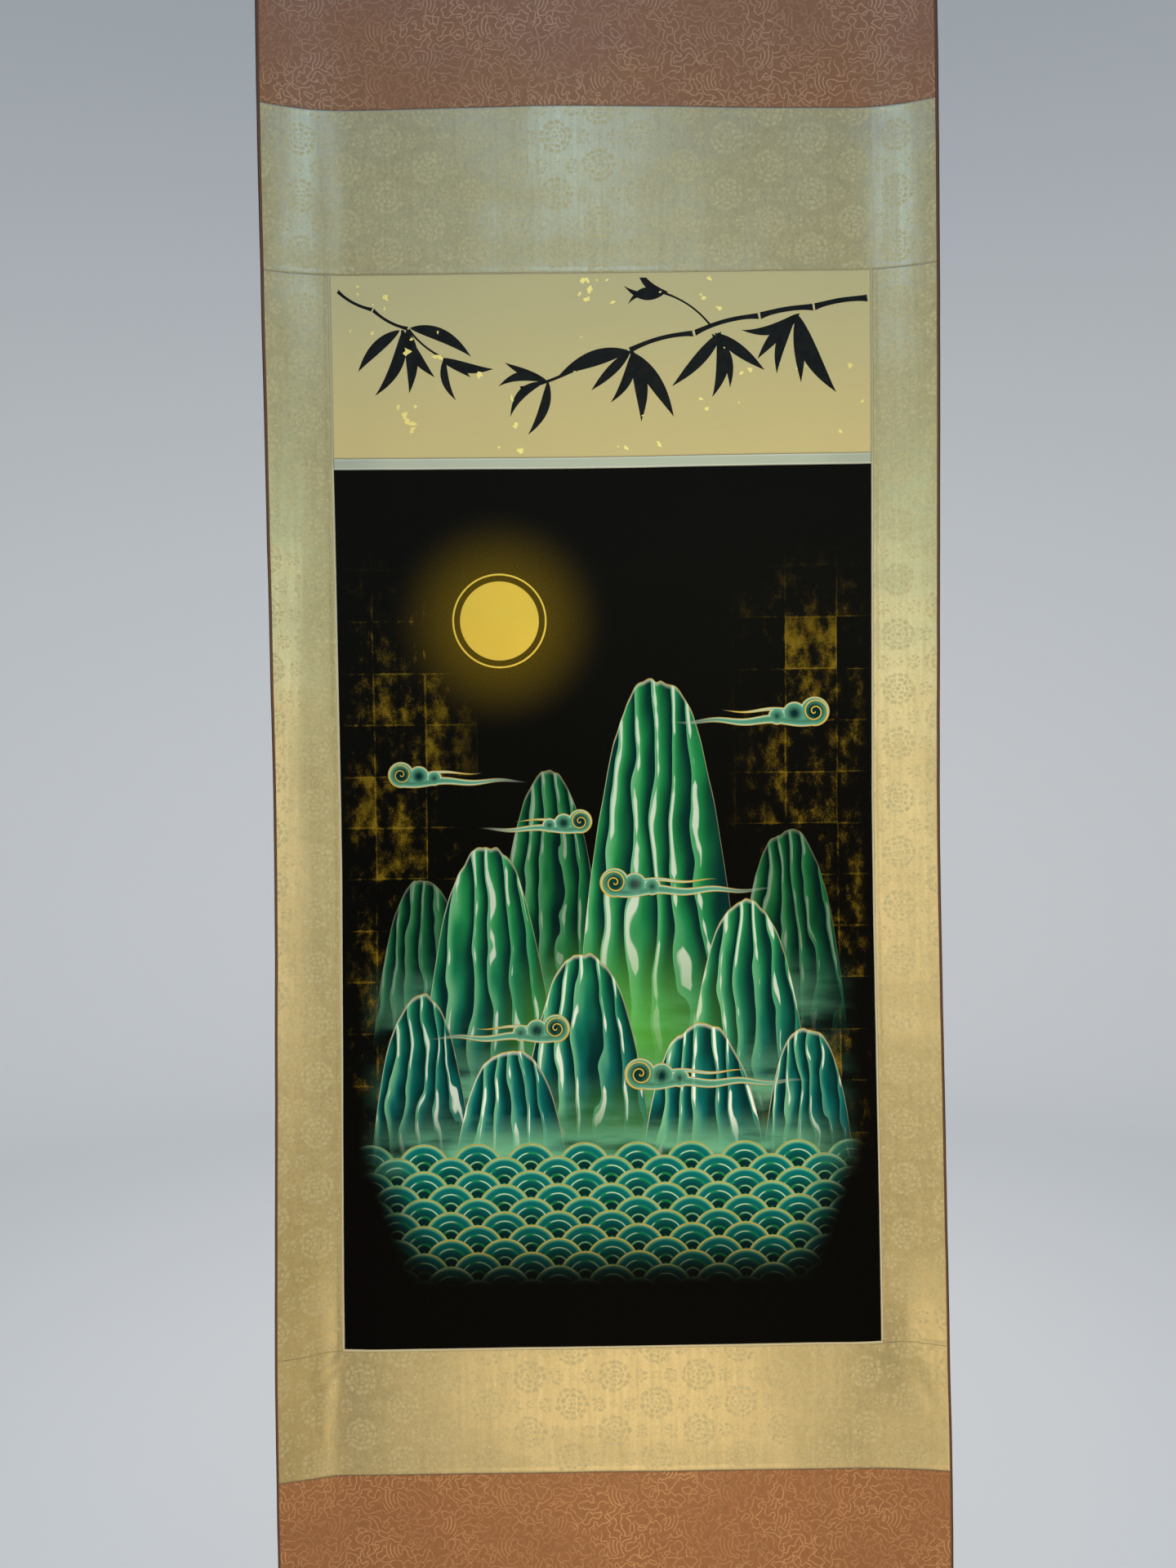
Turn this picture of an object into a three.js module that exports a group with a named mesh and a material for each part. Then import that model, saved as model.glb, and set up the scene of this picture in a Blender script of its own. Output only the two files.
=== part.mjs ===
import * as THREE from 'three';

// A hanging scroll: a painting on paper below a slip of gold-flecked paper, mounted in silk damask,
// with a rust brocade panel at each end. It hangs from its top edge, and no rod or roller is fitted.
// Millimetres, +Z up. The front faces -Y and the origin is the middle of the top edge.
// Every piece is laid out flat by two measures: across, to the right of the middle of the sheet,
// and drop, down the cloth from its top edge. One surface then says where the hung sheet lies.

// Cut sizes of the pieces, down the sheet
const heavenLength = 302;
const upperBandLength = 178;
const slipLength = 201;
const dividerLength = 12;
const paintingLength = 981;
const filletWidth = 2.5;
const lowerBandLength = 136;
const earthLength = 200;

// Cut sizes across the sheet
const sheetWidth = 748;
const paintingWidth = 600;
const bindingWidth = 4;

// Thicknesses, and the clearance that parts one piece from the next
const clothThickness = 1.2;
const bindingThickness = 1.8;
const hemDepth = 18;
const hemRamp = 1.5;
const seamGap = 0.3;

// The hung form at ten heights. bow is how far the middle of the sheet stands in front of
// its waist, leftCurl and rightCurl how far the edges roll forward, ridge how far the middle swells,
// and turn how far the left half stands in front of the right half.
const sections = [
  { drop: 0, bow: 31, leftCurl: 17, rightCurl: 19, ridge: 7.5, turn: 3 },
  { drop: 300, bow: 31, leftCurl: 20, rightCurl: 20, ridge: 7.5, turn: 3 },
  { drop: 480, bow: 26, leftCurl: 18, rightCurl: 20, ridge: 0, turn: 1 },
  { drop: 700, bow: 17, leftCurl: 18, rightCurl: 18, ridge: -5, turn: 0 },
  { drop: 900, bow: 8, leftCurl: 17, rightCurl: 16, ridge: -4, turn: 0 },
  { drop: 1120, bow: 0, leftCurl: 17, rightCurl: 15, ridge: -2, turn: 0 },
  { drop: 1400, bow: 8, leftCurl: 18, rightCurl: 13, ridge: 0, turn: 1 },
  { drop: 1680, bow: 19, leftCurl: 19, rightCurl: 9, ridge: 0, turn: 2.5 },
  { drop: 1815, bow: 21, leftCurl: 14, rightCurl: 9, ridge: 0, turn: 1 },
  { drop: 2013, bow: 19, leftCurl: 12, rightCurl: 6, ridge: 0, turn: 0 },
];
const curlWidth = 98;
const ridgeAcross = -33;
const ridgeReach = 270;
const turnReach = 300;

// Soft hollows where the sheet buckles below the corners of the painting
const hollows = [
  { across: -316, drop: 1700, halfWidth: 24, halfLength: 100, depth: 6 },
  { across: 330, drop: 1680, halfWidth: 30, halfLength: 45, depth: 7 },
];

// Longest facets: across the flat middle, across the rolled edges, and down the sheet
const flatStep = 40;
const curlStep = 14;
const dropStep = 60;
const buckleStep = 24;

const halfSheet = sheetWidth / 2;
const halfPainting = paintingWidth / 2;
const curlStart = halfSheet - curlWidth;
const panelEdge = halfSheet - bindingWidth - seamGap;
const filletInner = halfPainting + seamGap;
const filletOuter = filletInner + filletWidth;
const borderInner = filletOuter + seamGap;

// Rate of change of one column of the table at one of its rows
function slopeAt(column, row) {
  const above = sections[Math.max(row - 1, 0)];
  const below = sections[Math.min(row + 1, sections.length - 1)];
  return (below[column] - above[column]) / (below.drop - above.drop);
}

// Value of one column at any drop, on a cubic through the rows
function sectionAt(column, drop) {
  let row = 0;
  while (row < sections.length - 2 && drop > sections[row + 1].drop) row += 1;
  const upper = sections[row];
  const lower = sections[row + 1];
  const span = lower.drop - upper.drop;
  const t = (drop - upper.drop) / span;
  const ease = t * t * (3 - 2 * t);
  const leave = t * (1 - t) * (1 - t) * slopeAt(column, row);
  const arrive = t * t * (1 - t) * slopeAt(column, row + 1);
  return upper[column] * (1 - ease) + lower[column] * ease + span * (leave - arrive);
}

// How far the sheet stands in front of its waist
function forwardAt(across, drop) {
  const left = Math.max(0, (-curlStart - across) / curlWidth);
  const right = Math.max(0, (across - curlStart) / curlWidth);
  const reach = THREE.MathUtils.clamp((across - ridgeAcross) / ridgeReach, -1, 1);
  let forward = sectionAt('bow', drop);
  forward += sectionAt('leftCurl', drop) * left ** 2;
  forward += sectionAt('rightCurl', drop) * right ** 2;
  forward += sectionAt('ridge', drop) * (0.5 + 0.5 * Math.cos(Math.PI * reach));
  forward -= sectionAt('turn', drop) * across / turnReach;
  for (const hollow of hollows) {
    const u = (across - hollow.across) / hollow.halfWidth;
    const w = (drop - hollow.drop) / hollow.halfLength;
    forward -= hollow.depth * Math.exp(-u * u - w * w);
  }
  return forward;
}

const forwardAtMount = forwardAt(0, 0);

// Middle of the cloth's thickness in space. A rolled edge is drawn in by what its slope takes up.
function hungPoint(across, drop) {
  const left = Math.max(0, (-curlStart - across) / curlWidth);
  const right = Math.max(0, (across - curlStart) / curlWidth);
  const leftTake = 2 * sectionAt('leftCurl', drop) ** 2 / (3 * curlWidth) * left ** 3;
  const rightTake = 2 * sectionAt('rightCurl', drop) ** 2 / (3 * curlWidth) * right ** 3;
  const x = across + leftTake - rightTake;
  return new THREE.Vector3(x, forwardAtMount - forwardAt(across, drop), -drop);
}

// Even stops from one measure to another, none further apart than the step
function stops(from, to, step) {
  const count = Math.ceil((to - from) / step);
  return Array.from({ length: count + 1 }, (_, i) => from + (to - from) * i / count);
}

// Stops across a piece: close together on the rolled edges and wide apart between them
function stopsAcross(left, right) {
  const breaks = [left, -curlStart, curlStart, right].filter((at) => at >= left && at <= right);
  const list = [left];
  for (let i = 1; i < breaks.length; i += 1) {
    const middle = (breaks[i - 1] + breaks[i]) / 2;
    const step = Math.abs(middle) < curlStart ? flatStep : curlStep;
    list.push(...stops(breaks[i - 1], breaks[i], step).slice(1));
  }
  return list;
}

// Closed solid of a piece of cloth: a front grid, a back grid, and a wall round their rim.
// backAt gives how far the back lies behind the middle of the cloth at a drop.
function clothSolid(acrossStops, dropStops, frontDepth, backAt) {
  const columns = acrossStops.length;
  const rows = dropStops.length;
  const backStart = columns * rows;
  const positions = [];
  for (const back of [false, true]) {
    for (const drop of dropStops) {
      for (const across of acrossStops) {
        const point = hungPoint(across, drop);
        point.y += back ? backAt(drop) : -frontDepth;
        positions.push(point.x, point.y, point.z);
      }
    }
  }
  const indices = [];
  for (let row = 0; row < rows - 1; row += 1) {
    for (let column = 0; column < columns - 1; column += 1) {
      const a = row * columns + column;
      const b = a + 1;
      const c = a + columns;
      const d = c + 1;
      indices.push(a, c, b, b, c, d);
      indices.push(backStart + a, backStart + b, backStart + c);
      indices.push(backStart + b, backStart + d, backStart + c);
    }
  }
  const rim = [];
  for (let column = 0; column < columns - 1; column += 1) rim.push(column);
  for (let row = 0; row < rows - 1; row += 1) rim.push(row * columns + columns - 1);
  for (let column = columns - 1; column > 0; column -= 1) rim.push((rows - 1) * columns + column);
  for (let row = rows - 1; row > 0; row -= 1) rim.push(row * columns);
  rim.forEach((p, i) => {
    const q = rim[(i + 1) % rim.length];
    indices.push(p, q, backStart + q);
    indices.push(p, backStart + q, backStart + p);
  });
  const geometry = new THREE.BufferGeometry();
  geometry.setAttribute('position', new THREE.Float32BufferAttribute(positions, 3));
  geometry.setIndex(indices);
  geometry.computeVertexNormals();
  return geometry;
}

const finishes = {
  rustBrocade: new THREE.MeshStandardMaterial({ color: 0x9c6650, roughness: 0.7, metalness: 0 }),
  oliveDamask: new THREE.MeshStandardMaterial({ color: 0xb3a57a, roughness: 0.6, metalness: 0 }),
  paleSilk: new THREE.MeshStandardMaterial({ color: 0xabb0a0, roughness: 0.5, metalness: 0 }),
  fleckedPaper: new THREE.MeshStandardMaterial({ color: 0xb5a878, roughness: 0.75, metalness: 0 }),
  paintedPaper: new THREE.MeshStandardMaterial({ color: 0x1c2420, roughness: 0.6, metalness: 0 }),
  filletPaper: new THREE.MeshStandardMaterial({ color: 0xc4c4b8, roughness: 0.7, metalness: 0 }),
  rustBinding: new THREE.MeshStandardMaterial({ color: 0x85583f, roughness: 0.75, metalness: 0 }),
};

const scroll = new THREE.Group();

function addPiece(name, geometry, finish) {
  const mesh = new THREE.Mesh(geometry, finishes[finish]);
  mesh.name = name;
  scroll.add(mesh);
}

// Where each row of pieces starts and ends down the sheet, one seam gap apart
const lengths = {
  heaven: heavenLength,
  upperBand: upperBandLength,
  slip: slipLength,
  divider: dividerLength,
  painting: paintingLength,
  fillet: filletWidth,
  lowerBand: lowerBandLength,
  earth: earthLength,
};
const at = {};
let nextTop = 0;
for (const [row, length] of Object.entries(lengths)) {
  at[row] = { top: nextTop, bottom: nextTop + length };
  nextTop += length + seamGap;
}
const sheetEnd = at.earth.bottom;

// Single cloth, and the two end panels with a turned hem that doubles the cloth at the back
const halfCloth = clothThickness / 2;
const plainBack = () => halfCloth;
const hemmedBack = (endDrop) => (drop) => {
  const inside = Math.abs(drop - endDrop) < hemDepth + hemRamp / 2;
  return inside ? halfCloth + clothThickness : halfCloth;
};

const heavenStops = [0, hemDepth, ...stops(hemDepth + hemRamp, at.heaven.bottom, dropStep)];
const heavenAcross = stopsAcross(-panelEdge, panelEdge);
addPiece('heaven_panel', clothSolid(heavenAcross, heavenStops, halfCloth, hemmedBack(0)), 'rustBrocade');

const earthHem = sheetEnd - hemDepth;
const earthStops = [...stops(at.earth.top, earthHem - hemRamp, dropStep), earthHem, sheetEnd];
const earthAcross = stopsAcross(-panelEdge, panelEdge);
addPiece('earth_panel', clothSolid(earthAcross, earthStops, halfCloth, hemmedBack(sheetEnd)), 'rustBrocade');

// Flat pieces between the two end panels
const flatPieces = [
  { name: 'upper_damask_band', from: 'upperBand', to: 'upperBand', left: -panelEdge, right: panelEdge,
    step: dropStep, finish: 'oliveDamask' },
  { name: 'inscription_slip', from: 'slip', to: 'slip', left: -halfPainting, right: halfPainting,
    step: dropStep, finish: 'fleckedPaper' },
  { name: 'divider_strip', from: 'divider', to: 'divider', left: -halfPainting, right: halfPainting,
    step: dropStep, finish: 'paleSilk' },
  { name: 'painting_sheet', from: 'painting', to: 'painting', left: -halfPainting, right: halfPainting,
    step: dropStep, finish: 'paintedPaper' },
  { name: 'left_damask_border', from: 'slip', to: 'fillet', left: -panelEdge, right: -borderInner,
    step: dropStep, finish: 'oliveDamask' },
  { name: 'right_damask_border', from: 'slip', to: 'fillet', left: borderInner, right: panelEdge,
    step: dropStep, finish: 'oliveDamask' },
  { name: 'left_fillet', from: 'slip', to: 'painting', left: -filletOuter, right: -filletInner,
    step: dropStep, finish: 'filletPaper' },
  { name: 'right_fillet', from: 'slip', to: 'painting', left: filletInner, right: filletOuter,
    step: dropStep, finish: 'filletPaper' },
  { name: 'bottom_fillet', from: 'fillet', to: 'fillet', left: -filletOuter, right: filletOuter,
    step: dropStep, finish: 'filletPaper' },
  { name: 'lower_damask_band', from: 'lowerBand', to: 'lowerBand', left: -panelEdge, right: panelEdge,
    step: buckleStep, finish: 'oliveDamask' },
];
for (const piece of flatPieces) {
  const across = stopsAcross(piece.left, piece.right);
  const down = stops(at[piece.from].top, at[piece.to].bottom, piece.step);
  addPiece(piece.name, clothSolid(across, down, halfCloth, plainBack), piece.finish);
}

// Rust strips folded over the two long edges, so a little thicker than the cloth they bind
const halfBinding = bindingThickness / 2;
const bindingStops = stops(0, sheetEnd, dropStep);
for (const [name, left, right] of [
  ['left_edge_binding', -halfSheet, -halfSheet + bindingWidth],
  ['right_edge_binding', halfSheet - bindingWidth, halfSheet],
]) {
  const strip = clothSolid([left, right], bindingStops, halfBinding, () => halfBinding);
  addPiece(name, strip, 'rustBinding');
}

export default scroll;
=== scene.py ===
import math

import bpy
import numpy as np
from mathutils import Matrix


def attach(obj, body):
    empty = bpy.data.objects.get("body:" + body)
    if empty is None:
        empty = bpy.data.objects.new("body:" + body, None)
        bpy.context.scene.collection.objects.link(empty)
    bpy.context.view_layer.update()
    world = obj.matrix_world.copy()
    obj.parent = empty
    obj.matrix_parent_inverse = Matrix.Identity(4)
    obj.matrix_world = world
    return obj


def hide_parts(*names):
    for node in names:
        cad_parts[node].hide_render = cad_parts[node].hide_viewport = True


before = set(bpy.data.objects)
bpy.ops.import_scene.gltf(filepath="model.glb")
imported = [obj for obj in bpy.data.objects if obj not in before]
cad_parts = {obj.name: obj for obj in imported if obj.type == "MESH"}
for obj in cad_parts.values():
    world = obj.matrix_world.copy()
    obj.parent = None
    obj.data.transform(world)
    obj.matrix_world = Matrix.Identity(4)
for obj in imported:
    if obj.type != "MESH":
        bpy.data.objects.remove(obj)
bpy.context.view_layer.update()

# Painting sheet: ink, colour and gold on a tall sheet of paper, glued flat to the backing papers.
# Everything else is mounted round it. Across and drop are millimetres on the flat sheet, from
# its middle line and from its top edge, and one surface says where each such place hangs.
SHEET_WIDTH = 748.0
PAINTING_WIDTH = 600.0
SEAM = 0.3
LENGTHS = dict(
    heaven=302, upper=178, slip=201, divider=12, painting=981, fillet=2.5, lower=136, earth=200)
HUNG_FORM = np.array([
    (0, 31, 17, 19, 7.5, 3), (300, 31, 20, 20, 7.5, 3), (480, 26, 18, 20, 0, 1), (700, 17, 18, 18, -5, 0),
    (900, 8, 17, 16, -4, 0), (1120, 0, 17, 15, -2, 0), (1400, 8, 18, 13, 0, 1), (1680, 19, 19, 9, 0, 2.5),
    (1815, 21, 14, 9, 0, 1), (2013, 19, 12, 6, 0, 0),
], dtype=[(column, "f8") for column in ("drop", "bow", "left_curl", "right_curl", "ridge", "turn")])
CURL_WIDTH = 98.0
RIDGE_ACROSS, RIDGE_REACH, TURN_REACH = -33.0, 270.0, 300.0
HOLLOWS = [
    dict(across=-312, drop=1705, half_width=25, half_length=105, depth=6.5),
    dict(across=330, drop=1680, half_width=30, half_length=45, depth=7),
]
# Creases pressed or buckled into the cloth: where, which way, how long and wide, and how high
CREASES = [
    dict(across=-310, drop=1694, turn=128, length=26, width=7, height=1.6),
    dict(across=-344, drop=1700, turn=91, length=150, width=23, height=2.8),
    dict(across=-333, drop=1750, turn=86, length=52, width=7, height=1.0),
    dict(across=-330, drop=1768, turn=70, length=24, width=4, height=0.5),
    dict(across=-288, drop=1717, turn=18, length=42, width=12, height=-1.5),
    dict(across=346, drop=1682, turn=118, length=11, width=3.0, height=0.9),
    dict(across=355, drop=1686, turn=124, length=12, width=2.8, height=1.0),
    dict(across=363, drop=1692, turn=112, length=14, width=3.2, height=0.9),
    dict(across=340, drop=1712, turn=70, length=30, width=9, height=1.1),
    dict(across=-318, drop=1180, turn=88, length=240, width=13, height=0.7),
    dict(across=-338, drop=820, turn=93, length=180, width=12, height=-0.6),
    dict(across=333, drop=1010, turn=90, length=260, width=14, height=0.7),
    dict(across=324, drop=1420, turn=87, length=170, width=11, height=-0.7),
    dict(across=-300, drop=398, turn=90, length=110, width=12, height=0.7),
    dict(across=318, drop=380, turn=91, length=120, width=13, height=0.7),
    dict(across=-60, drop=380, turn=88, length=90, width=30, height=0.5),
]


def place_rows():
    """Top and bottom drop of each row of pieces, one seam after another down the sheet."""
    rows, top = {}, 0.0
    for row, length in LENGTHS.items():
        rows[row] = (top, top + length)
        top += length + SEAM
    return rows


ROWS = place_rows()
SHEET_LENGTH = ROWS["earth"][1]
HALF_SHEET, HALF_PAINTING = SHEET_WIDTH / 2, PAINTING_WIDTH / 2
CURL_START = HALF_SHEET - CURL_WIDTH


def form(column, drop):
    """One column of the hung form at any drop: a cubic through the rows, with each row's slope
    taken from the rows above and below it."""
    at, value = HUNG_FORM["drop"], HUNG_FORM[column]
    above = np.maximum(np.arange(len(at)) - 1, 0)
    below = np.minimum(np.arange(len(at)) + 1, len(at) - 1)
    slope = (value[below] - value[above]) / (at[below] - at[above])
    i = np.clip(np.searchsorted(at, drop) - 1, 0, len(at) - 2)
    span = at[i + 1] - at[i]
    t = (drop - at[i]) / span
    ease = t * t * (3 - 2 * t)
    bend = t * (1 - t) * (1 - t) * slope[i] - t * t * (1 - t) * slope[i + 1]
    return value[i] * (1 - ease) + value[i + 1] * ease + span * bend


def curl_reach(across):
    """How far into the left and right rolled edge a place is, from 0 at its start to 1 at the rim."""
    left = np.maximum(0, (-CURL_START - across) / CURL_WIDTH)
    right = np.maximum(0, (across - CURL_START) / CURL_WIDTH)
    return left, right


def forward(across, drop):
    """How far the sheet stands in front of its waist: bow, parabolic curls, a cosine ridge, a lean
    to one side, and Gaussian hollows."""
    left, right = curl_reach(across)
    reach = np.clip((across - RIDGE_ACROSS) / RIDGE_REACH, -1, 1)
    depth = form("bow", drop) + form("left_curl", drop) * left**2 + form("right_curl", drop) * right**2
    depth = depth + form("ridge", drop) * (0.5 + 0.5 * np.cos(np.pi * reach))
    depth = depth - form("turn", drop) * across / TURN_REACH
    for h in HOLLOWS:
        u, w = (across - h["across"]) / h["half_width"], (drop - h["drop"]) / h["half_length"]
        depth = depth - h["depth"] * np.exp(-u * u - w * w)
    return depth


COCKLE = np.random.default_rng(11)
COCKLE_WAVES = np.column_stack((
    COCKLE.uniform(45, 170, 16), COCKLE.uniform(0, np.pi, 16), COCKLE.uniform(0, 2 * np.pi, 16)))


def relief(across, drop):
    """Small unevenness over the hung form: a sum of sine waves for the cockled paper, faint rings
    left by rolling, and the creases, each a Gaussian ridge or trough along a line."""
    height = 0.10 * np.sin(drop * 2 * np.pi / 83 + 0.8 * np.sin(across / 190))
    for length, turn, phase in COCKLE_WAVES:
        along = across * np.cos(turn) + drop * np.sin(turn)
        height = height + 0.0008 * length * np.sin(along * 2 * np.pi / length + phase)
    for c in CREASES:
        turn = math.radians(c["turn"])
        dx, dy = across - c["across"], drop - c["drop"]
        along, off = dx * math.cos(turn) + dy * math.sin(turn), dy * math.cos(turn) - dx * math.sin(turn)
        height = height + c["height"] * np.exp(-(off / c["width"]) ** 2 - (along / c["length"]) ** 2)
    return height


FORWARD_AT_MOUNT = float(forward(np.zeros(1), np.zeros(1))[0])


def hang(across, drop, proud=0.0):
    """Points in metres, with proud millimetres added towards the front. A rolled edge is drawn in
    by what its slope takes up: two thirds of curl squared over its width, times reach cubed."""
    left, right = curl_reach(across)
    take = 2 / (3 * CURL_WIDTH)
    x = across + take * form("left_curl", drop) ** 2 * left**3
    x = x - take * form("right_curl", drop) ** 2 * right**3
    y = FORWARD_AT_MOUNT - forward(across, drop) - relief(across, drop) - proud
    return np.stack((x, y, -drop), axis=-1) / 1000


def stops(low, high, step):
    """Places along one side of a piece: even steps, with close ones at both ends for the edges."""
    close = np.array([0.0, 0.3, 0.7, 1.2, 2.0, 3.8, 5.2, 7.0]) * min(1.0, (high - low) / 24)
    count = max(2, math.ceil((high - low - 2 * close[-1]) / step) + 1)
    middle = np.linspace(low + close[-1], high - close[-1], count)
    return np.concatenate((low + close[:-1], middle, high - close[-2::-1]))


def add_object(name, points, faces, materials, face_material, flat=None, seam=None, smooth=None):
    """A mesh object at the origin. It has the flat places in metres as its UV map, a seam value at
    each point for the painted shade along its rims, and smooth or flat faces, where these are given."""
    mesh = bpy.data.meshes.new(name)
    mesh.from_pydata(points, [], faces.tolist())
    for material in materials:
        mesh.materials.append(material)
    mesh.polygons.foreach_set("material_index", face_material)
    mesh.polygons.foreach_set("use_smooth", np.ones(len(faces), bool) if smooth is None else smooth)
    if flat is not None:
        corner = np.empty(len(mesh.loops), np.int32)
        mesh.loops.foreach_get("vertex_index", corner)
        uv = mesh.uv_layers.new(name="flat")
        uv.data.foreach_set("uv", (flat[corner] / 1000).ravel())
    if seam is not None:
        mesh.attributes.new("seam", "FLOAT", "POINT").data.foreach_set("value", seam)
    mesh.update()
    piece = bpy.data.objects.new(name, mesh)
    bpy.context.scene.collection.objects.link(piece)
    return piece


CLOTH_HALF = 0.6
LIP_HEIGHT, LIP_WIDTH = 0.18, 5.0
EDGE_SINK, EDGE_ROUND = 0.22, 0.45
HEM_REACH, HEM_DEPTH = 18.5, 1.2
SEAM_SHADE_REACH = 0.9
PAPER_STEP, SILK_STEP, CREASED_STEP = 7.5, 6.0, 3.5


def cloth_piece(name, left, right, top, bottom, step, materials, over="", hem=None):
    """A thin closed sheet on the hung surface: front grid, back grid and a wall round the rim.
    Its front sinks a little at each edge, and an edge named in over climbs on its neighbour, so
    it has a lip 5 mm wide. A hem doubles the back within 18 mm or so of its drop."""
    a, d = np.meshgrid(stops(left, right, step), stops(top, bottom, step))
    inside = dict(left=a - left, right=right - a, top=d - top, bottom=bottom - d)
    nearest = np.minimum.reduce(list(inside.values()))
    lip = np.zeros_like(a)
    for edge in over.split():
        t = np.clip((inside[edge] - 0.75 * LIP_WIDTH) / (0.3 * LIP_WIDTH), 0, 1)
        lip = np.maximum(lip, LIP_HEIGHT * (1 - t * t * (3 - 2 * t)))
    front = CLOTH_HALF + lip - EDGE_SINK * np.exp(-(nearest / EDGE_ROUND) ** 2)
    back = -CLOTH_HALF * np.ones_like(a)
    if hem is not None:
        back = np.where(np.abs(d - hem) < HEM_REACH, -CLOTH_HALF - HEM_DEPTH, back)
    rows, columns = a.shape
    count = a.size
    index = np.arange(count).reshape(rows, columns)
    p, q = index[:-1, :-1].ravel(), index[:-1, 1:].ravel()
    r, s = index[1:, :-1].ravel(), index[1:, 1:].ravel()
    rim = np.concatenate((index[0, :-1], index[:-1, -1], index[-1, :0:-1], index[:0:-1, 0]))
    after = np.roll(rim, -1)
    faces = np.concatenate((
        np.column_stack((p, r, s, q)),
        np.column_stack((p, q, s, r)) + count,
        np.column_stack((rim, after, after + count, rim + count))))
    points = np.concatenate((hang(a, d, front).reshape(-1, 3), hang(a, d, back).reshape(-1, 3)))
    flat = np.tile(np.column_stack((a.ravel(), d.ravel())), (2, 1))
    # Seam value: 1 on the rim and falling off inwards, the strength of the painted shade there
    seam = np.tile(np.exp(-(nearest / SEAM_SHADE_REACH) ** 2).ravel(), 2)
    kind = np.repeat([0, 1, 1], [len(p), len(p), len(rim)])
    smooth = np.repeat([True, True, False], [len(p), len(p), len(rim)])
    return add_object(name, points, faces, materials, kind, flat, seam, smooth)


def colour(red, green, blue):
    """A display colour, 0 to 255, as the linear RGBA that shaders take."""
    part = np.array((red, green, blue)) / 255
    linear = np.where(part <= 0.04045, part / 12.92, ((part + 0.055) / 1.055) ** 2.4)
    return (*(float(c) for c in linear), 1.0)


class Value:
    """A number that varies over a surface. Sums on it lay down Math nodes."""

    def __init__(self, finish, socket):
        self.finish, self.socket = finish, socket

    def math(self, operation, *values):
        return self.finish.node(
            "ShaderNodeMath", {"operation": operation}, dict(enumerate(values)))

    def __add__(self, other):
        return self.math("ADD", self, other)

    def __sub__(self, other):
        return self.math("SUBTRACT", self, other)

    def __rsub__(self, other):
        return self.math("SUBTRACT", other, self)

    def __mul__(self, other):
        return self.math("MULTIPLY", self, other)

    def __truediv__(self, other):
        return self.math("DIVIDE", self, other)

    def __rtruediv__(self, other):
        return self.math("DIVIDE", other, self)

    def __pow__(self, other):
        return self.math("POWER", self, other)

    def __mod__(self, other):
        return self.math("FLOORED_MODULO", self, other)

    def __lt__(self, other):
        return self.math("LESS_THAN", self, other)

    def __gt__(self, other):
        return self.math("GREATER_THAN", self, other)

    def __abs__(self):
        return self.math("ABSOLUTE", self)

    __radd__, __rmul__ = __add__, __mul__

    def round(self):
        return self.math("ROUND", self)

    def floor(self):
        return self.math("FLOOR", self)

    def sin(self):
        return self.math("SINE", self)

    def cos(self):
        return self.math("COSINE", self)

    def max(self, other):
        return self.math("MAXIMUM", self, other)

    def min(self, other):
        return self.math("MINIMUM", self, other)

    def angle_from(self, x):
        return self.math("ARCTAN2", self, x)

    def step(self, low, high):
        """0 below low and 1 above high, eased between. With low above high it falls instead."""
        return self.finish.node(
            "ShaderNodeMapRange", {"interpolation_type": "SMOOTHSTEP"},
            {"Value": self, "From Min": low, "From Max": high})


def hypot(x, y):
    """Length of the vector x, y."""
    return (x * x + y * y) ** 0.5


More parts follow.
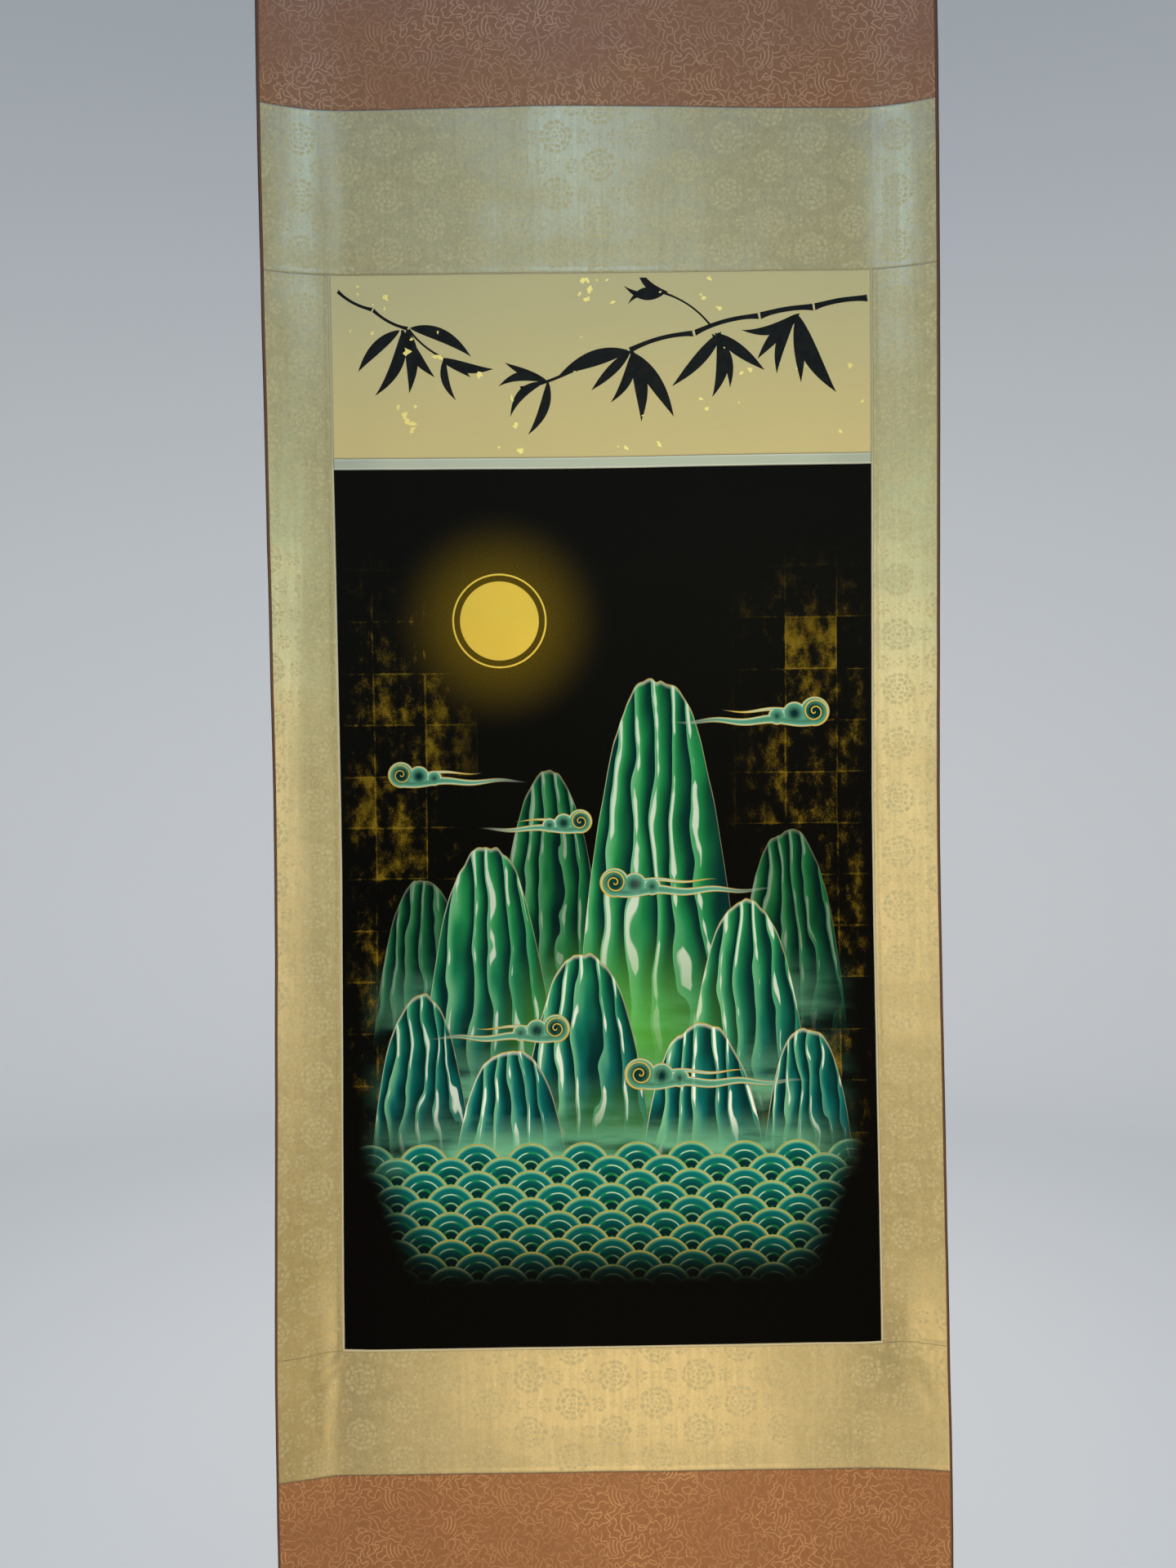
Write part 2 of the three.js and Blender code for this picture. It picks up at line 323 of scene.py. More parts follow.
class Finish:
    """One material: its nodes are laid down here, and its own shader is at the end."""

    def __init__(self, name):
        self.material = bpy.data.materials.new(name)
        self.material.use_nodes = True
        self.tree = self.material.node_tree
        self.shader = self.tree.nodes["Principled BSDF"]
        self.bump_normal = None

    def node(self, kind, settings=None, inputs=None, output=0):
        """Adds a node, makes its settings, then fills its sockets with numbers, colours or links.
        A number that it gives comes back as a Value, and anything else as its socket."""
        node = self.tree.nodes.new(kind)
        for key, value in (settings or {}).items():
            setattr(node, key, value)
        for key, value in (inputs or {}).items():
            self.feed(node.inputs[key], value)
        socket = node.outputs[output]
        return Value(self, socket) if socket.type == "VALUE" else socket

    def feed(self, socket, value):
        if isinstance(value, Value):
            self.tree.links.new(value.socket, socket)
        elif isinstance(value, bpy.types.NodeSocket):
            self.tree.links.new(value, socket)
        else:
            socket.default_value = value

    def place(self):
        """Across and drop in millimetres, from the piece's own flat map."""
        uv = self.node("ShaderNodeUVMap", {"uv_map": "flat"})
        split = self.tree.nodes.new("ShaderNodeSeparateXYZ")
        self.tree.links.new(uv, split.inputs[0])
        return Value(self, split.outputs[0]) * 1000, Value(self, split.outputs[1]) * 1000

    def vector(self, x, y, z=0.0):
        return self.node("ShaderNodeCombineXYZ", None, {0: x, 1: y, 2: z})

    def noise(self, x, y, size, detail=2.0, roughness=0.5, seed=0.0, distortion=0.0):
        """Noise between 0 and 1 on the flat sheet, with blotches about size millimetres across."""
        return self.node("ShaderNodeTexNoise", None, {
            "Vector": self.vector(x, y, seed), "Scale": 1.0 / size, "Detail": detail,
            "Roughness": roughness, "Distortion": distortion})

    def mix(self, share, first, second):
        """first where share is 0 and second where it is 1."""
        return self.node(
            "ShaderNodeMix", {"data_type": "RGBA"}, {0: share, 6: first, 7: second}, output=2)

    def tint(self, base, share):
        """A colour made lighter or darker by a number."""
        return self.node(
            "ShaderNodeMix", {"data_type": "RGBA", "blend_type": "MULTIPLY"},
            {0: 1.0, 6: base, 7: self.vector(share, share, share)}, output=2)

    def bump(self, height, distance, strength):
        """Adds a relief in metres below the ones already there."""
        inputs = {"Height": height, "Distance": distance, "Strength": strength}
        if self.bump_normal is not None:
            inputs["Normal"] = self.bump_normal
        self.bump_normal = self.node("ShaderNodeBump", None, inputs)

    def done(self, base, roughness, **sockets):
        """Fills the shader's sockets. Spaces in their names are written as underscores."""
        self.feed(self.shader.inputs["Base Color"], base)
        self.feed(self.shader.inputs["Roughness"], roughness)
        for key, value in sockets.items():
            self.feed(self.shader.inputs[key.replace("_", " ")], value)
        if self.bump_normal is not None:
            self.feed(self.shader.inputs["Normal"], self.bump_normal)
        return self.material


def seam_shade_of(finish):
    """1 on the rim of a piece, falling to 0 over the next millimetre or two: where painted shade is
    mixed in along the seams between pieces.
    """
    return finish.node("ShaderNodeAttribute", {"attribute_name": "seam"}, output=2)


def backing_paper():
    """White bast paper, two layers pasted, seen from behind: long fibres, faint cloudy paste marks
    and the overlaps where its sheets meet."""
    f = Finish("backing_paper")
    x, y = f.place()
    fibre = f.noise(x * 0.35 + y * 0.2, y * 2.2, 6, 4, 0.65)
    cloud = f.noise(x, y, 130, 3, 0.6, 4.0)
    paper_length = 660
    joint = (paper_length / 2 - abs(y % paper_length - paper_length / 2)).step(4.5, 3.0)
    shade = 0.93 + 0.10 * (fibre - 0.5) + 0.10 * (cloud - 0.5) - 0.05 * joint
    base = f.tint(f.mix(cloud.step(0.35, 0.75), colour(228, 222, 204), colour(214, 205, 182)), shade)
    f.bump(fibre, 0.0006, 0.35)
    f.bump(joint, 0.0003, 0.6)
    return f.done(base, 0.88)


PAPER_BACK = backing_paper()

# The picture: a generic design of its own, cliffs above a sea of fish-scale waves, airbrushed in
# jade and teal on black, with a gold disc, gold-lined clouds and worn squares of gold leaf.
# Places in it are from its middle line and from its foot. Peaks go from the farthest to the nearest.
PEAKS = [
    dict(across=-208, foot=330, top=520, half_width=58, near=0.16),
    dict(across=205, foot=330, top=575, half_width=64, near=0.2),
    dict(across=-66, foot=340, top=640, half_width=66, near=0.34),
    dict(across=58, foot=270, top=748, half_width=98, near=0.75),
    dict(across=-136, foot=250, top=556, half_width=80, near=0.7),
    dict(across=156, foot=240, top=492, half_width=72, near=0.8),
    dict(across=-28, foot=215, top=436, half_width=74, near=0.9),
    dict(across=-212, foot=205, top=390, half_width=56, near=0.8),
    dict(across=222, foot=205, top=352, half_width=50, near=0.85),
    dict(across=104, foot=195, top=356, half_width=70, near=1.0),
    dict(across=-112, foot=190, top=330, half_width=64, near=1.0),
]
CLOUDS = [
    dict(across=-232, height=640, radius=15, tail=150, side=1),
    dict(across=-30, height=585, radius=14, tail=120, side=-1),
    dict(across=236, height=706, radius=17, tail=170, side=-1),
    dict(across=8, height=515, radius=17, tail=190, side=1),
    dict(across=-60, height=352, radius=16, tail=150, side=-1),
    dict(across=34, height=300, radius=18, tail=200, side=1),
]
INK_BLACK, JADE, TEAL = colour(5, 5, 4), colour(36, 158, 88), colour(8, 116, 118)
DEEP_TEAL, MINT, GLOSS = colour(2, 44, 46), colour(140, 212, 164), colour(240, 250, 242)
LEAF_GREEN, OLD_GOLD, BRIGHT_GOLD = colour(104, 200, 66), colour(122, 98, 20), colour(212, 176, 74)


def gold_leaf_wash(f, x, height, grain):
    """Squares of leaf 58 mm wide, each of its own strength, doubled where they overlap at their
    edges and rubbed thin by noise. They cover both sides and leave the middle bare."""
    square = 58
    across, up = x / square + 0.5, height / square
    pane = f.noise(across.floor() * 5.3, up.floor() * 5.3, 3.7, 0.0)
    joint = abs(across - across.floor() - 0.5).max(abs(up - up.floor() - 0.5)).step(0.470, 0.492)
    worn = f.noise(x * 1.3, height * 0.8, 24, 5, 0.7, 21.0)
    sides = abs(x).step(110.0, 210.0) * abs(x).step(303.0, 280.0)
    sides = sides * height.step(150.0, 300.0) * height.step(930.0, 760.0)
    leaf = (worn + (pane - 0.5) * 0.5 + joint * 0.10 + (grain - 0.5) * 0.30).step(0.44, 0.80)
    return leaf * sides


def painted_peak(f, x, height, picture, gold, peak, seed):
    """A steep rounded peak: its height at any place across is its rise times 1 minus off to the
    2.4, to the 0.8, roughened by noise along the outline. Folds fan out down it, off over the part
    of its rise. Each is a saw tooth, light at its left edge and falling to dark, with a glossy
    stroke beside that edge. The foot fades out, for mist."""
    rise = peak["top"] - peak["foot"]
    off = (x - peak["across"]) / peak["half_width"]
    crag = f.noise(x, seed, 30, 2, 0.5) - 0.5
    arch = (1 - abs(off) ** 2.4).max(0.0) ** 0.8
    outline = peak["foot"] + arch * rise + crag * (10 + 0.08 * rise)
    depth = outline - height
    body = depth.step(0.0, 1.3) * (arch > 0.001)
    body = body * height.step(peak["foot"] - 4, peak["foot"] + 0.42 * rise)
    drift = f.noise(x, height * 0.34, 0.6 * peak["half_width"], 2, 0.5, seed) - 0.5
    fan = off / (0.55 + 0.45 * (peak["top"] - height) / rise).max(0.3) * 2.7 + drift * 2.2 + seed
    fold = fan - fan.floor()
    strand = f.noise(fan.floor() * 17.0, height, 44, 1, 0.5, seed)
    lit = (1 - fold) ** 1.25 * (0.92 - off * 0.36)
    paint = f.mix(lit.step(0.0, 0.75), DEEP_TEAL, f.mix(height.step(250.0, 520.0), TEAL, JADE))
    paint = f.mix(lit.step(0.45, 1.15) * 0.8, paint, MINT)
    stroke = (((strand - 0.45).max(0.0) * 0.9).min(0.11) - abs(fold - 0.17)).step(0.0, 0.05)
    rim = depth.step(6.5, 1.0) * (0.62 - off * 0.38).max(0.0)
    paint = f.mix(stroke.max(rim) * (0.3 + 0.66 * peak["near"]), paint, GLOSS)
    picture = f.mix(body, picture, f.tint(paint, 0.22 + 0.78 * peak["near"]))
    gold_rim = abs(depth - 0.9).step(1.0, 0.5) * body * (0.2 + 0.6 * peak["near"])
    return picture, (gold * (1 - body)).max(gold_rim)


def painted_cloud(f, x, height, picture, gold, cloud):
    """A cloud of three round heads on a tapering tail: circles joined to two swaying bands whose half
    height falls off along them. The largest is curled, by a spiral line where radius over pitch
    less turn is whole."""
    size = cloud["radius"]
    dx, dy = (x - cloud["across"]) * cloud["side"], height - cloud["height"]
    r = hypot(dx, dy)
    heads = (size - r).max(0.80 * size - hypot(dx - 1.35 * size, dy + 0.12 * size))
    heads = heads.max(0.60 * size - hypot(dx - 2.5 * size, dy + 0.28 * size))
    sway = (dx * (2 * math.pi / 64)).sin() * size * 0.09

    def band(reach, half_height, below):
        return (1 - dx / reach).max(0.0) ** 0.7 * half_height - abs(dy + below + sway)

    bands = band(cloud["tail"], size * 0.40, size * 0.56)
    bands = bands.max(band(cloud["tail"] * 0.62, size * 0.22, -size * 0.10))
    depth = heads.max(bands * (dx > 0.0) - (dx < 0.0) * 9)
    body = depth.step(0.0, 0.9) * dx.step(cloud["tail"] * 0.98, cloud["tail"] * 0.5)
    turns = r / (size * 0.42) - dy.angle_from(dx) / (2 * math.pi)
    curl = abs(turns - turns.floor() - 0.5).step(0.12, 0.06) * r.step(size - 0.5, size - 1.5)
    paint = f.mix(depth.step(size * 0.7, 0.5), DEEP_TEAL, f.mix(0.45, TEAL, MINT))
    paint = f.mix(depth.step(3.0, 0.8) * 0.75, paint, GLOSS)
    line = depth.step(1.5, 0.9).max(curl) * body
    return f.mix(body * 0.94, picture, paint), (gold * (1 - body)).max(line * 0.8)


def painted_waves(f, x, height, picture, gold):
    """Fish-scale waves: rows of overlapping circles, each row half a step along and the lower rows
    in front. Rings in each scale are bands of teal and jade with a pale crest. Their top edge is
    the scales' own, and they fade out to both sides and at the foot."""
    radius, rise, top_row = 30.0, 15.0, 13.0
    row = (height / rise).floor()

    def ring(at):
        dx = (x + (at % 2) * radius + radius) % (2 * radius) - radius
        return hypot(dx, height - at * rise)

    front, behind = ring(row - 1), ring(row)
    shown = front < radius
    r = front * shown + behind * (1 - shown)
    inside = (shown * (row < top_row + 1.5)).max((behind < radius) * (row < top_row + 0.5))
    bands = (r * (2 * math.pi / 9.5)).cos()
    paint = f.mix((r / radius).step(0.15, 1.0), DEEP_TEAL, TEAL)
    paint = f.mix(bands.step(0.2, 0.95) * 0.45, paint, JADE)
    paint = f.mix(r.step(radius - 5.5, radius - 0.8) * 0.9, paint, MINT)
    glint = bands.step(0.90, 0.99) * r.step(6.0, 12.0) * abs(((x + height) * 0.1).sin()).step(0.3, 0.8)
    paint = f.mix(glint * 0.75, paint, GLOSS)
    depth = f.tint(paint, 0.25 + 0.75 * height.step(70.0, 190.0))
    body = inside * height.step(66.0, 120.0) * (abs(x) + (230 - height) * 0.35).step(288.0, 225.0)
    edge = abs(r - radius + 1.1).step(0.9, 0.4) * body
    return f.mix(body, picture, depth), (gold * (1 - body)).max(edge * 0.6)


def painted_mist(f, picture, height, x, level, reach, strength, seed):
    """A bank of mist lying at one level, thin at its sides and torn by noise drawn out sideways."""
    torn = f.noise(x * 0.4, height * 1.7, 44, 3, 0.55, seed)
    bank = abs(height - level + (torn - 0.5) * reach * 1.6).step(reach, 0.0) * abs(x).step(285.0, 190.0)
    return f.mix(bank * torn.step(0.25, 0.62) * strength, picture, f.mix(torn, TEAL, MINT))


def painted_paper():
    """The picture on its paper, laid down from the black ground forwards."""
    f = Finish("painted_paper")
    x, drop = f.place()
    height = ROWS["painting"][1] - drop
    grain = f.noise(x, drop, 1.2, 1, 0.6)
    leaf = gold_leaf_wash(f, x, height, grain)
    disc = hypot(x + 118, height - 812)
    halo = disc.step(150.0, 40.0) * (0.35 + 0.5 * grain) * 0.8
    gold = (leaf * 0.36).max(halo * 0.5)
    gold = gold.max(disc.step(45.0, 43.8) * (0.62 + 0.5 * grain))
    gold = gold.max(abs(disc - 52).step(1.3, 0.7))
    # Painted sheen: the black ground is made lighter towards the top, as light from above catches it
    picture = f.mix(height.step(500.0, 960.0) * 0.7, INK_BLACK, colour(17, 17, 15))
    glow = hypot(x - 10, (height - 330) * 1.1).step(170.0, 10.0)
    for number, peak in enumerate(PEAKS):
        picture, gold = painted_peak(f, x, height, picture, gold, peak, 3.1 + 4.7 * number)
        if number == 2:
            picture = painted_mist(f, picture, height, x, 380, 60, 0.5, 61.0)
        if number == 5:
            picture = f.mix(glow * 0.55, picture, LEAF_GREEN)
            picture = painted_mist(f, picture, height, x, 290, 56, 0.7, 71.0)
    picture = painted_mist(f, picture, height, x, 222, 40, 0.9, 81.0)
    for cloud in CLOUDS:
        picture, gold = painted_cloud(f, x, height, picture, gold, cloud)
    picture, gold = painted_waves(f, x, height, picture, gold)
    picture = f.mix(gold.step(0.02, 0.5), picture, f.mix(gold.step(0.2, 0.9), OLD_GOLD, BRIGHT_GOLD))
    picture = f.tint(picture, 0.90 + 0.2 * grain)
    f.bump(grain, 0.0003, 0.25)
    return f.done(picture, 0.66 - 0.2 * gold, Metallic=gold * 0.5, Specular_IOR_Level=0.03)


painting = cloth_piece(
    "painting", -HALF_PAINTING, HALF_PAINTING, *ROWS["painting"], PAPER_STEP,
    [painted_paper(), PAPER_BACK])
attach(painting, "root")
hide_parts("painting_sheet")

# Fillets: strips of pale paper a few millimetres wide, pasted along both sides of the picture and
# the slip and under the picture's foot, so that a light line parts them from the silk.
FILLET_INNER = HALF_PAINTING + SEAM
FILLET_OUTER = FILLET_INNER + LENGTHS["fillet"]


def fillet_paper():
    """Pale cream paper, a little soiled, with a fine fibre."""
    f = Finish("fillet_paper")
    x, y = f.place()
    fibre = f.noise(x * 2, y * 0.6, 1.5, 3, 0.6)
    base = f.mix(f.noise(x, y, 40, 2), colour(208, 198, 168), colour(196, 184, 148))
    base = f.tint(base, 0.9 + 0.2 * fibre)
    beside_slip = y.step(ROWS["divider"][1] + 4, ROWS["divider"][0])
    base = f.mix(beside_slip * 0.8, base, colour(182, 171, 128))
    # Painted shade: the rim darkened, as shade in the seam beside its neighbour
    base = f.mix(seam_shade_of(f) * 0.2, base, colour(120, 112, 92))
    f.bump(fibre, 0.0002, 0.3)
    return f.done(base, 0.7)


FILLET_PAPER = fillet_paper()
for node, left, right, top, bottom in (
    ("left_fillet", -FILLET_OUTER, -FILLET_INNER, ROWS["slip"][0], ROWS["painting"][1]),
    ("right_fillet", FILLET_INNER, FILLET_OUTER, ROWS["slip"][0], ROWS["painting"][1]),
    ("bottom_fillet", -FILLET_OUTER, FILLET_OUTER, *ROWS["fillet"]),
):
    strip = cloth_piece(
        node + "_paper", left, right, top, bottom, PAPER_STEP, [FILLET_PAPER, PAPER_BACK])
    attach(strip, "root")
    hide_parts(node)

# Slip: a wide sheet of toned paper sprinkled with scraps of gold leaf, pasted above the picture.
# It carries a spray of bamboo in black ink.
SLIP_TOP, SLIP_BOTTOM = ROWS["slip"]


def slip_paper():
    """Tan-olive toned paper with a fine laid grain, browner towards the foot."""
    f = Finish("slip_paper")
    x, drop = f.place()
    laid = (drop * (2 * math.pi / 1.7)).sin() * 0.5 + 0.5
    grain = f.noise(x * 0.5, drop * 3, 2.2, 3, 0.6)
    cloud = f.noise(x, drop, 90, 3, 0.6, 2.0)
    low = drop.step(SLIP_TOP, SLIP_BOTTOM)
    base = f.mix(low, colour(196, 183, 137), colour(210, 189, 132))
    base = f.tint(base, 0.95 + 0.05 * cloud + 0.05 * (grain - 0.5) + 0.015 * laid)
    # Painted shade: the rim darkened, as shade in the seams
    base = f.mix(seam_shade_of(f) * 0.45, base, colour(96, 88, 60))
    f.bump(laid + grain, 0.0002, 0.2)
    return f.done(base, 0.72, Specular_IOR_Level=0.4)


slip = cloth_piece(
    "slip", -HALF_PAINTING, HALF_PAINTING, SLIP_TOP, SLIP_BOTTOM, PAPER_STEP,
    [slip_paper(), PAPER_BACK])
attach(slip, "root")
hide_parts("inscription_slip")

# Gold flecks: scraps of leaf 2 to 11 mm across, thicker in the upper middle and at the left, laid
# on the paper and standing a hair in front of it.
LEAF_PROUD = 0.12
FLECK_GROUPS = [
    dict(across=-5, drop=502, count=9, spread=30, size=3.2),
    dict(across=-255, drop=520, count=7, spread=34, size=3.0),
    dict(across=-190, drop=560, count=5, spread=40, size=3.6),
    dict(across=-226, drop=640, count=7, spread=30, size=3.4),
    dict(across=100, drop=516, count=6, spread=38, size=2.6),
    dict(across=-110, drop=650, count=5, spread=44, size=2.8),
    dict(across=130, drop=600, count=5, spread=40, size=3.4),
    dict(across=262, drop=600, count=5, spread=40, size=2.6),
    dict(across=30, drop=655, count=4, spread=60, size=2.4),
]


def face_front(points, faces):
    """The same faces, each with its corners in the order that turns it to the front."""
    first, second, last = (points[faces[:, corner]] for corner in (0, 1, -1))
    normal_y = np.cross(second - first, last - first)[:, 1]
    return np.where((normal_y > 0)[:, None], faces[:, ::-1], faces)


def gold_flecks():
    """Each fleck is a fan of triangles round its middle: a ring of points whose radius wanders,
    stretched one way and turned."""
    draw = np.random.default_rng(5)
    sides = 9
    flat, faces, start = [], [], 0
    for group in FLECK_GROUPS:
        for _ in range(group["count"]):
            middle = np.array((group["across"], group["drop"])) + draw.normal(0, group["spread"] * 0.6, 2)
            middle = np.clip(middle, (-292, SLIP_TOP + 8), (292, SLIP_BOTTOM - 8))
            size = group["size"] * draw.uniform(0.45, 1.8)
            angle = np.arange(sides) * 2 * np.pi / sides + draw.uniform(-0.2, 0.2, sides)
            radius = size * draw.uniform(0.35, 1.15, sides)
            turn = draw.uniform(0, np.pi)
            stretch = draw.uniform(0.45, 1.0)
            u, w = radius * np.cos(angle), radius * np.sin(angle) * stretch
            c, s = np.cos(turn), np.sin(turn)
            ring = np.column_stack((u * c - w * s, u * s + w * c))
            flat.append(np.concatenate((middle[None], middle + ring)))
            around = 1 + np.arange(sides)
            hub = np.zeros(sides, int)
            faces.append(np.column_stack((hub, np.roll(around, -1), around)) + start)
            start += sides + 1
    flat, faces = np.concatenate(flat), np.concatenate(faces)
    points = hang(flat[:, 0], flat[:, 1], CLOTH_HALF + LEAF_PROUD)
    faces = face_front(points, faces)
    f = Finish("gold_leaf")
    x, y = f.place()
    crumple = f.noise(x, y, 1.6, 3, 0.6)
    base = f.mix(crumple, colour(250, 208, 104), colour(255, 238, 156))
    f.bump(crumple, 0.0003, 0.5)
    gold = f.done(base, 0.4, Metallic=0.25)
    return add_object("gold_flecks", points, faces, [gold], np.zeros(len(faces), int), flat)


flecks = gold_flecks()
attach(flecks, "root")

# Bamboo spray: brushed stems with a gap at each node, and fans of pointed leaves, all in ink that
# lies on the paper's face.
INK_PROUD = 0.08
STEMS = [
    dict(start=(297, 512), end=(176, 530), sag=5, width=7.0, joints=2),
    dict(start=(176, 530), end=(30, 566), sag=8, width=6.0, joints=2),
    dict(start=(30, 566), end=(-92, 606), sag=-5, width=4.2, joints=2),
    dict(start=(124, 542), end=(70, 503), sag=5, width=2.6, joints=1),
    dict(start=(-292, 498), end=(-214, 540), sag=6, width=4.0, joints=2),
    dict(start=(-214, 540), end=(-176, 572), sag=3, width=2.8, joints=1),
]
LEAF_FANS = [
    dict(across=220, drop=528, count=5, turn=112, fan=92, length=88),
    dict(across=128, drop=548, count=4, turn=84, fan=84, length=82),
    dict(across=34, drop=566, count=5, turn=112, fan=112, length=88),
    dict(across=-60, drop=598, count=4, turn=156, fan=92, length=66),
    dict(across=70, drop=504, count=3, turn=188, fan=60, length=54),
    dict(across=-218, drop=540, count=5, turn=84, fan=118, length=76),
    dict(across=-176, drop=572, count=3, turn=38, fan=66, length=58),
]


def brush_stroke(start, end, sag, width, rows=22):
    """A stroke's flat points and faces: a bowed line from start to end with a width at each step."""
    t = np.linspace(0, 1, rows)
    start, end = np.array(start, float), np.array(end, float)
    line = start + (end - start) * t[:, None]
    side = np.array((-(end - start)[1], (end - start)[0])) / np.linalg.norm(end - start)
    line = line + side * (sag * 4 * t * (1 - t))[:, None]
    half = (width(t) / 2)[:, None]
    flat = np.concatenate((line - side * half, line, line + side * half))
    k = np.arange(rows - 1)
    lane = np.column_stack((k, k + 1, k + 1 + rows, k + rows))
    return flat, np.concatenate((lane, lane + rows))


def bamboo_spray():
    """Stems are strokes that thicken at the nodes. A leaf is a stroke that swells from a thin stalk
    and runs out to a long point: its width is 3.4 times t to the 0.8 times 1 minus t to the 1.1."""
    draw = np.random.default_rng(8)
    parts = []
    for stem in STEMS:
        start, end = np.array(stem["start"], float), np.array(stem["end"], float)
        for joint in range(stem["joints"]):
            a, b = (joint + 0.012) / stem["joints"], (joint + 0.975) / stem["joints"]
            parts.append(brush_stroke(
                start + (end - start) * a, start + (end - start) * b, stem["sag"] / stem["joints"],
                lambda t, w=stem["width"]: w * (0.78 + 0.34 * np.abs(2 * t - 1) ** 4)))
    for fan in LEAF_FANS:
        for leaf in range(fan["count"]):
            spread = fan["fan"] * (leaf / (fan["count"] - 1) - 0.5)
            turn = math.radians(fan["turn"] + spread + draw.uniform(-8, 8))
            length = fan["length"] * draw.uniform(0.66, 1.1)
            start = np.array((fan["across"], fan["drop"])) + draw.uniform(-6, 6) * np.array((1, -0.2))
            end = start + length * np.array((math.cos(turn), math.sin(turn)))
            broad = length * draw.uniform(0.17, 0.22)
            parts.append(brush_stroke(
                start, end, draw.uniform(-9, 9),
                lambda t, w=broad: w * 3.4 * t**0.8 * (1 - t) ** 1.1 + 0.3))
    flat, faces, count = [], [], 0
    for points, quads in parts:
        flat.append(points)
        faces.append(quads + count)
        count += len(points)
    flat, faces = np.concatenate(flat), np.concatenate(faces)
    flat[:, 1] = np.clip(flat[:, 1], SLIP_TOP + 6, SLIP_BOTTOM - 6)
    points = hang(flat[:, 0], flat[:, 1], CLOTH_HALF + INK_PROUD)
    faces = face_front(points, faces)
    f = Finish("black_ink")
    x, y = f.place()
    pool = f.noise(x, y, 14, 4, 0.65)
    base = f.mix(pool.step(0.3, 0.8), colour(9, 11, 12), colour(26, 28, 27))
    ink = f.done(base, 0.6 + 0.2 * pool, Specular_IOR_Level=0.15)
    return add_object("bamboo_spray", points, faces, [ink], np.zeros(len(faces), int), flat)


bamboo = bamboo_spray()
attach(bamboo, "root")

# Divider: a strip of plain grey-green silk between the slip and the picture. Both its long edges
# are folded under, and a pale line is painted along each as a highlight on the fold.


def divider_silk():
    """Fine plain weave, with painted highlights along the folded edges and painted shade at both ends."""
    f = Finish("divider_silk")
    x, drop = f.place()
    thread = f.noise(x * 2.4, drop * 0.7, 1.6, 3, 0.6)
    slub = f.noise(x * 0.12, drop * 2, 3, 3, 0.6, 6.0)
    top, bottom = ROWS["divider"]
    half = (bottom - top) / 2
    # Painted highlight: a pale line along each long edge, as light on the fold
    painted_edge_highlight = abs(drop - top - half).step(half - 1.9, half - 1.3)
    base = f.mix(painted_edge_highlight * 0.8, colour(183, 186, 168), colour(230, 229, 212))
    # Painted shade: the last term darkens both ends
    base = f.tint(base, 0.88 + 0.14 * thread + 0.10 * slub - 0.14 * abs(x).step(225.0, 292.0))
    # Painted shade: the rim darkened, as shade in the seams
    base = f.mix(seam_shade_of(f) * 0.5, base, colour(70, 72, 60))
    f.bump(thread + slub, 0.0002, 0.3)
    return f.done(base, 0.5, Sheen_Weight=0.2, Sheen_Roughness=0.4)


divider = cloth_piece(
    "divider", -HALF_PAINTING, HALF_PAINTING, *ROWS["divider"], PAPER_STEP,
    [divider_silk(), PAPER_BACK], over="top bottom")
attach(divider, "root")
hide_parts("divider_strip")

# Damask: olive silk woven with round flower medallions in a half-drop repeat, satin ground and
# dull figure. Two bands and two side strips of it frame the slip and the picture.
MEDALLION_ACROSS, MEDALLION_DROP = 47.0, 61.0
PANEL_EDGE = HALF_SHEET - 0.9
FILLET_LAP = 0.9
BORDER_INNER = FILLET_OUTER - FILLET_LAP
BORDER_DROPS = ROWS["slip"][0], ROWS["fillet"][1]


def petals(r, turn, inner, outer, count):
    """1 on a ring of petals. Their tips are scallops of the cosine of half the count times the
    turn, and a line of ground a good millimetre wide parts each from the next."""
    wave = abs((turn * count * 0.5).cos())
    tip = (outer - 1.5 + 1.5 * wave - r).step(-0.25, 0.25)
    return tip * r.step(inner, inner + 0.6) * (wave * r * (2 / count)).step(0.5, 1.4)


def medallion_figure(f, x, y):
    """1 on the woven figure and 0 on the ground: round flowers of three rings of petals in a
    half-drop repeat, alternate columns with more petals or fewer. Level with the gap between two
    flowers of a column, a small blossom has a leafy sprig on each side."""
    column = (x / MEDALLION_ACROSS).round()
    odd = column % 2
    dx = x - column * MEDALLION_ACROSS
    shifted = y + odd * (MEDALLION_DROP / 2)
    dy = shifted - (shifted / MEDALLION_DROP).round() * MEDALLION_DROP
    r, turn = hypot(dx, dy), dy.angle_from(dx)
    figure = r.step(2.2, 1.6)
    for inner, outer, count in ((3.2, 6.4, 5), (8.0, 12.0, 8), (13.6, 18.0, 11)):
        figure = figure.max(petals(r, turn, inner, outer, count + odd * (count // 5)))
    gap_x, gap_y = abs(dx), MEDALLION_DROP / 2 - abs(dy)
    figure = figure.max(petals(hypot(gap_x, gap_y), gap_y.angle_from(gap_x), 0.9, 4.2, 5))
    sprig_x, sprig_y = gap_x - 17.5, gap_y + (dy > 0.0) * 1.5 - 1.0
    sprig, sprig_turn = hypot(sprig_x, sprig_y), sprig_y.angle_from(sprig_x)
    figure = figure.max(petals(sprig, sprig_turn + 0.6, 1.0, 3.8, 4))
    return figure.max(petals(sprig, sprig_turn, 4.2, 7.8, 7))


